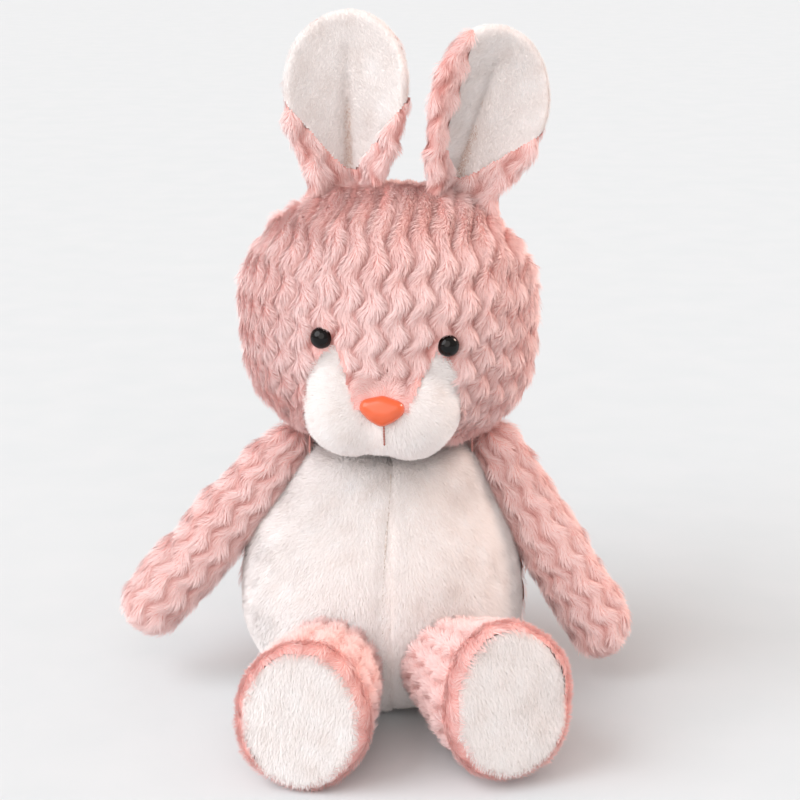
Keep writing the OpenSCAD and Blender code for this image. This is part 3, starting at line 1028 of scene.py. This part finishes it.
for number, side in enumerate(sides):
    leg = spun(f"leg_{side}_form", leg_outline(skin), 60)
    oval_foot(leg, side)
    remesh(leg, 1.3 * mm, 3)
    cover = part_of(leg, f"leg_{side}_cloth", lambda co: ~in_sole(co, side))
    sole = part_of(leg, f"sole_{side}_cloth", lambda co: in_sole(co, side))
    bpy.data.objects.remove(leg)
    # pale lifts the leg pile's tones a little: painted light against the shade of the legs' pile, whose
    # strands are seen end-on.
    loose_leg = dict(loose, lump=0.7 * mm, calm=calm_by_sole, pale=0.05)
    dress(cover, leg_down, limb_across(25 * mm), limb_along, True, 71 + number, **loose_leg)
    dress(sole, (0, -1, 0), lambda co: co[:, 0], lambda co: co[:, 1], False, 73 + number, lump=0.4 * mm)
    co, _ = points(cover)
    rim = bell(co[:, 2], leg_len, 7 * mm)
    scale(cover, "long", 1 - 0.1 * rim)
    set_limb(cover, side, leg_matrix(side))
    set_limb(sole, side, leg_matrix(side))
    finish_cover(cover, f"leg_{side}", [f"leg_{side}_cover"], *pink_finish, 0.8)
    finish_cover(sole, f"leg_{side}", [f"leg_{side}_sole"], *white_finish, 0.8)
    grow(f"leg_{side}_pile", cover, body=f"leg_{side}", per_mm2=3.0, seed=75 + number, **pink_pile)
    grow(f"sole_{side}_pile", sole, body=f"leg_{side}", per_mm2=8, seed=77 + number, **sole_pile)

# %% [markdown]
# ## Ears
# An ear is two leaves of cloth, pink behind and white in front, sewn round the edge and cupped
# forwards. Its foot is pinched, so the lining folds into two soft halves with a crease between them.
# The leaf starts as a grid that is fitted to the ear's outline, bent round, creased, given its
# thickness with a Solidify modifier, and remeshed.

# %% Ear form
ear_len, ear_half, ear_bow, foot_angle = 67 * mm, 25 * mm, 45 * mm, math.radians(35)
ear_x = {"left": 24 * mm, "right": 20 * mm}
ear_lean = {"left": 14, "right": 3}
ear_turn = {"left": 24, "right": 6}
crease_x = 1 * mm


def head_top(x):
    return head_up * (1 - (x / head_r) ** power_up) ** (1 / power_up)


def ear_matrix(side):
    foot = Matrix.Translation((ear_x[side], 4 * mm, head_top(ear_x[side]) + 5 * mm))
    return head_matrix @ mirrored(side) @ foot @ turned(ear_lean[side], "Y")


def leaf_half(share):
    """Half width of the ear at a share of its height; it stays broad at the foot."""
    height = np.clip(share, 0, 1)
    cos_a = math.cos(foot_angle) - height * (1 + math.cos(foot_angle))
    sin_a = np.sqrt(np.clip(1 - cos_a**2, 0, 1))
    egg = ear_half * sin_a * (1 - 0.22 * cos_a)
    foot = (14.5 - 4 * np.clip(share, -0.2, 0.3)) * mm
    return np.where(share < 0.3, np.maximum(egg, foot), egg)


def ear_form(name, side):
    """The ear in its own upright frame, cupped towards -Y."""
    bm = bmesh.new()
    bmesh.ops.create_grid(bm, x_segments=36, y_segments=60, size=0.5)
    co = np.array([v.co for v in bm.verts])
    share = (co[:, 1] + 0.5) * 1.12 - 0.12
    across = co[:, 0] * 2
    x = across * leaf_half(share) * 0.97
    y = -ear_bow + np.sqrt(ear_bow**2 - x**2)
    pinch = np.clip(1 - share / 0.75, 0, 1)
    y -= 9 * mm * np.abs(across) ** 2.2 * pinch
    y += 9 * mm * bell(x, crease_x, 2.6 * mm) * np.clip(1.15 - share / 0.72, 0, 1) ** 0.8
    y += 3 * mm * bell(x, 0, 9 * mm) * np.clip(1 - share / 0.95, 0, 1)
    z = share * ear_len - 1.5 * mm
    for v, row in zip(bm.verts, np.stack([x, y, z], 1)):
        v.co = row
    bmesh.ops.remove_doubles(bm, verts=bm.verts, dist=0.05 * mm)
    ear = made(name, bm)
    wall = ear.modifiers.new("wall", "SOLIDIFY")
    wall.thickness = 4.5 * mm
    wall.offset = 0
    settle(ear)
    return remesh(ear, 1.1 * mm, 4)


def in_lining(co, no_y, side):
    """True on the white front leaf: a V that opens from the foot to the whole width."""
    share = (co[:, 2] + 1.5 * mm) / ear_len
    room = 3 * mm + 52 * mm * (share - 0.06)
    by_rim = np.abs(co[:, 0]) > leaf_half(share) - 5 * mm
    facing_limit = np.where((share > 0.9) | (share > 0.5) & by_rim, 0.8, -0.1)
    inner_edge = {"left": -14 * mm, "right": -40 * mm}[side]
    return (no_y < facing_limit) & (np.abs(co[:, 0]) < room) & (share > 0.05) & (co[:, 0] > inner_edge)


for number, side in enumerate(sides):
    ear = ear_form(f"ear_{side}_form", side)
    facing = np.array([p.normal.y for p in ear.data.polygons])
    lining = part_of(ear, f"ear_{side}_lining_cloth", lambda co: in_lining(co, facing, side))
    back = part_of(ear, f"ear_{side}_back_cloth", lambda co: ~in_lining(co, facing, side))
    bpy.data.objects.remove(ear)
    ribs_at = (lambda co: co[:, 0] + 3 * mm), (lambda co: -co[:, 2])
    dress(back, (0, 0, -1), *ribs_at, True, 81 + number, lump=0.4 * mm, relief=0.5)
    dress(lining, (0, 0, 1), lambda co: co[:, 0], lambda co: co[:, 2], False, 83 + number, lump=0.3 * mm)
    co, no = points(back)
    rim = np.clip((co[:, 2] / ear_len - 0.35) / 0.2, 0, 1) * np.clip((0.5 - np.abs(no[:, 1])) / 0.4, 0, 1)
    scale(back, "long", 0.95 - 0.3 * rim)
    co, _ = points(lining)
    # In the crease of the lining the pile is shorter, and its tone is lowered to the shade tone: painted
    # shade in the crease.
    deep = bell(co[:, 0], crease_x, 3 * mm) * np.clip(1.3 - co[:, 2] / (40 * mm), 0, 1)
    change(lining, "long", 0.8 - 0.3 * deep)
    scale(lining, "tone", 1 - deep)
    spin_it = turned(ear_turn[side], "Z")
    for piece in (back, lining):
        set_limb(piece, side, ear_matrix(side) @ spin_it)
    finish_cover(back, f"ear_{side}", [f"ear_{side}_back"], *pink_finish, 0.3)
    finish_cover(lining, f"ear_{side}", [f"ear_{side}_lining"], *white_finish, 0.3)
    grow(f"ear_{side}_back_pile", back, body=f"ear_{side}", per_mm2=3.8, seed=85 + number, **pink_pile)
    grow(f"ear_{side}_lining_pile", lining, body=f"ear_{side}", per_mm2=8, seed=87 + number, **white_pile)

# %% [markdown]
# ## Tail
# The tail is a small stuffed ball of white plush, half sunk in the back.

# %% Tail
tail_r, tail_at = 13 * mm, (0, belly_r + 4 * mm, belly_z - 8 * mm)
bm = bmesh.new()
bmesh.ops.create_icosphere(bm, subdivisions=5, radius=tail_r - skin)
tail = made("tail_cloth", bm)
dress(tail, (0, 0, -1), lambda co: co[:, 0], lambda co: co[:, 2], False, 91, lump=0.8 * mm, wander=0.8)
place(tail, Matrix.Translation(tail_at))
finish_cover(tail, "torso", ["tail_cover"], *white_finish, 0.7)
grow("tail_pile", tail, body="torso", per_mm2=4, seed=92, **{**white_pile, "length": 5 * mm})

# %% [markdown]
# The mouth is one short row of stitches that runs down from the nose in the cleft of the muzzle.

# %% Mouth
muzzle_co, _ = points(white_muzzle)
back_home = np.array(head_matrix.inverted())
muzzle_co = muzzle_co @ back_home[:3, :3].T + back_home[:3, 3]
mouth_line = []
for part in np.linspace(0, 1, 9):
    x, z = (2.6 + 0.5 * part) * mm, (-29.5 - 9.5 * part) * mm
    near = np.hypot(muzzle_co[:, 0] - x, muzzle_co[:, 2] - z) < 1.5 * mm
    y = muzzle_co[near, 1].min() - 0.9 * mm
    mouth_line.append(head_matrix @ Vector((x, y, z)))
thread_brown = plain_cloth("polyester_thread_brown_rose", "#9c5f55", "#b87a70", 0.6 * mm, 0.7)
stitch_row("mouth_stitches", mouth_line, 0.4 * mm, "head", "mouth_stitch", thread_brown)

# %% [markdown]
# ## Eyes and nose
# The eyes are black safety eyes of hard glossy plastic: a dome with a rim, and a ribbed post inside.
# The nose is a safety nose, a rounded triangle of orange plastic. Moulded plastic is smooth enough to
# mirror the studio lights as small bright spots.


# %% Glossy plastic
def moulded(name, hex_colour, rough, coat, shine=0.5):
    """Injection-moulded plastic: a clear colour under a polished skin with a faint ripple."""
    material, tree, shader = start_material(name)
    spot = add(tree, "ShaderNodeTexCoord").outputs["Object"]
    noise = {"Vector": spot, "Scale": 1 / (6 * mm), "Detail": 2.0}
    cloud = add(tree, "ShaderNodeTexNoise", noise).outputs["Fac"]
    base = linear(hex_colour)[:3]
    low = [c * 0.9 for c in base] + [1]
    high = [min(1, c * 1.06) for c in base] + [1]
    tree.links.new(two_tone(tree, cloud, low, high), shader.inputs["Base Color"])
    rough_surface(tree, shader, cloud, 0.05 * mm, 0.3)
    shader.inputs["Roughness"].default_value = rough
    shader.inputs["Specular IOR Level"].default_value = shine
    shader.inputs["Coat Weight"].default_value = coat
    shader.inputs["Coat Roughness"].default_value = 0.05
    return material


black_plastic = moulded("moulded_plastic_black", "#060505", 0.07, 0.0, shine=0.28)
orange_plastic = moulded("moulded_plastic_orange", "#de6238", 0.28, 0.3)


# %% Eyes
eye_r = 4.3 * mm


def eye_piece(name):
    """An eye with +Z out of the cloth: dome, thin rim and post, spun from one outline."""
    angles = np.radians((0, 12, 26, 40, 54, 68, 80))
    dome = [(eye_r * math.cos(a), 1.2 * mm + 0.82 * eye_r * math.sin(a)) for a in angles]
    dome += [(0, 1.2 * mm + 0.82 * eye_r)]
    outline = [(0, -9 * mm), (1.4 * mm, -9 * mm), (1.6 * mm, -8.4 * mm), (1.6 * mm, 0), (eye_r - 0.3 * mm, 0)]
    outline += [(eye_r + 0.1 * mm, 0.35 * mm), (eye_r + 0.1 * mm, 0.9 * mm)] + dome
    eye = spun(name, outline, 40)
    for face in eye.data.polygons:
        face.use_smooth = True
    soft = eye.modifiers.new("round", "SUBSURF")
    soft.levels = soft.render_levels = 1
    settle(eye)
    return eye


for side, spot in zip(("right", "left"), eye_spots):
    eye = eye_piece(f"eye_button_{side}")
    out = Vector((spot[0], spot[1], 0)).normalized()
    turn = Vector((0, 0, 1)).rotation_difference(out).to_matrix().to_4x4()
    place(eye, head_matrix @ Matrix.Translation(spot) @ turn)
    eye.data.materials.append(black_plastic)
    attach(eye, "head")
    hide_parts(f"eye_{side}")
    print(eye.name, len(eye.data.polygons), "faces")

# %% Nose
nose_rounds = (
    (-5.4, 1.0, 3.5), (5.4, 1.0, 3.5), (0, -2.9, 3.5),
    (-2.4, -0.6, 4.4), (2.4, -0.6, 4.4), (0, 2.2, 3.8),
)
bm = bmesh.new()
for x, z, r in nose_rounds:
    spot = Matrix.Translation((x * mm, 0, z * mm))
    bmesh.ops.create_icosphere(bm, subdivisions=3, radius=r * mm, matrix=spot)
hull = bmesh.ops.convex_hull(bm, input=bm.verts)
spare = [g for g in hull["geom_interior"] + hull["geom_unused"] if isinstance(g, bmesh.types.BMVert)]
bmesh.ops.delete(bm, geom=spare, context="VERTS")
bmesh.ops.create_cone(
    bm, segments=20, radius1=1.6 * mm, radius2=1.6 * mm, depth=9 * mm, cap_ends=True,
    matrix=Matrix.Translation((0, 5.5 * mm, 0)) @ turned(90, "X"),
)
nose = remesh(made("nose_button", bm), 0.45 * mm, 6)
place(nose, head_matrix @ Matrix.Translation((nose_spot[0], nose_spot[1] - 2.2 * mm, nose_spot[2])))
nose.data.materials.append(orange_plastic)
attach(nose, "head")
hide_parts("nose")
print("nose:", len(nose.data.polygons), "faces")

# %% [markdown]
# ## Stuffing
# The stuffing of each part is the same form as its cover, drawn in by more than the thickness of the
# cloth, so that it stays under the grooves between the ribs and under the valley of the belly seam.

# %% Stuffing
gap = 4.2 * mm


def stuff(obj, body, node):
    """Gives a form of stuffing its material, hangs it on its body and hides the CAD node it stands for."""
    obj.data.materials.clear()
    obj.data.materials.append(fibrefill)
    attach(obj, body)
    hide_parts(node)
    return obj


fibrefill = plain_cloth("polyester_stuffing", "#e9e6e0", "#fdfcfa", 3 * mm, depth=1.2 * mm)
core = body_form("body_stuffing", gap, 2 * mm)
sway(core)
stuff(core, "torso", "body_filling")
stuff(place(head_form("head_stuffing", gap, 2 * mm), head_matrix), "head", "head_filling")
for side in sides:
    core = spun(f"arm_{side}_stuffing", limb_outline(arm_root, arm_stations, paw_r, arm_reach, gap), 32)
    remesh(core, 1.6 * mm)
    stuff(set_limb(core, side, arm_matrix(side)), f"arm_{side}", f"arm_{side}_filling")
    core = spun(f"leg_{side}_stuffing", leg_outline(gap), 40)
    oval_foot(core, side)
    stuff(set_limb(remesh(core, 2 * mm), side, leg_matrix(side)), f"leg_{side}", f"leg_{side}_filling")
print("stuffing drawn in by", gap / mm, "mm")

# %% [markdown]
# ## Threads and inner pieces
# The seams are sewn with polyester thread. The inner pieces are never seen until the rabbit is taken
# apart: white stuffing, a cloth bag of pellets, and the plastic washers that lock the eyes and nose.


# %% Inner materials
inner = {
    "filling": fibrefill,
    "bag": plain_cloth("woven_cotton_bag", "#d8d0c0", "#eae4d6", 0.8 * mm),
    "pellets": plain_cloth("plastic_pellets", "#bdb9af", "#dedbd3", 3.2 * mm, 0.4, 1.5 * mm),
    "washer": plain_cloth("moulded_nylon_washer", "#ececea", "#f8f8f4", 2 * mm, 0.4, 0.02 * mm),
    "seam": plain_cloth("polyester_thread_rose", "#cf8f86", "#e3aaa2", 0.6 * mm, 0.7),
}
finish_of = {"pellet_bag": "bag", "pellets": "pellets"}
for name, node in frame["nodes"].items():
    if node.hide_render:
        continue
    kinds = [k for k in ("filling", "washer", "seam") if k in name]
    kind = finish_of.get(name) or (kinds[0] if kinds else None)
    if kind is None:
        print("no finish for", name)
        continue
    node.data.materials.clear()
    node.data.materials.append(inner[kind])

# %% [markdown]
# ## Light and floor
# A pale studio: a bright even surround, a broad soft lamp high on the left, a weaker one in front, and
# a warm lamp behind on the right that gives the pile its bright edge. That last lamp is flagged off the
# floor, so that it throws no shadow towards the camera.


# %% Light and floor
def lamp(name, towards, high, power, soft, colour="#ffffff"):
    """A broad far lamp: its compass side (0 is behind, 180 in front), its height and softness in degrees."""
    data = bpy.data.lights.new(name, "SUN")
    data.angle = math.radians(soft)
    data.energy = power
    data.color = linear(colour)[:3]
    obj = bpy.data.objects.new(name, data)
    bpy.context.scene.collection.objects.link(obj)
    side, up = math.radians(towards), math.radians(high)
    start = Vector((math.sin(side) * math.cos(up), math.cos(side) * math.cos(up), math.sin(up)))
    obj.rotation_euler = start.to_track_quat("Z", "Y").to_euler()
    return obj


lamp("key_lamp", 244, 38, 1.9, 50, "#fbfcff")
lamp("front_lamp", 188, 28, 1.15, 60, "#fff8f4")
rim = lamp("rim_lamp", 68, 34, 2.2, 20, "#ffdccb")
world = bpy.data.worlds.new("studio")
world.use_nodes = True
world.node_tree.nodes["Background"].inputs["Color"].default_value = linear("#f5e9e4")
world.node_tree.nodes["Background"].inputs["Strength"].default_value = 0.7
bpy.context.scene.world = world
bpy.context.scene.view_settings.view_transform = "Standard"

bm = bmesh.new()
bmesh.ops.create_circle(bm, cap_ends=True, segments=96, radius=14)
floor = made("floor", bm)
paper = plain_cloth("studio_paper", "#e0e8eb", "#e3eaed", 40 * mm, 0.9, 0.01 * mm)
floor.data.materials.append(paper)
lit = bpy.data.collections.new("lit_by_rim_lamp")
for obj in bpy.context.scene.objects:
    if obj.type == "MESH" and obj is not floor:
        lit.objects.link(obj)
rim.light_linking.receiver_collection = lit

# %% Finish
for group in (long_blades, short_blades):
    for obj in list(group.objects):
        bpy.data.objects.remove(obj)
    bpy.data.collections.remove(group)
total = sum(len(o.data.polygons) for o in bpy.data.objects if o.type == "MESH" and not o.hide_render)
print("faces in all:", total)
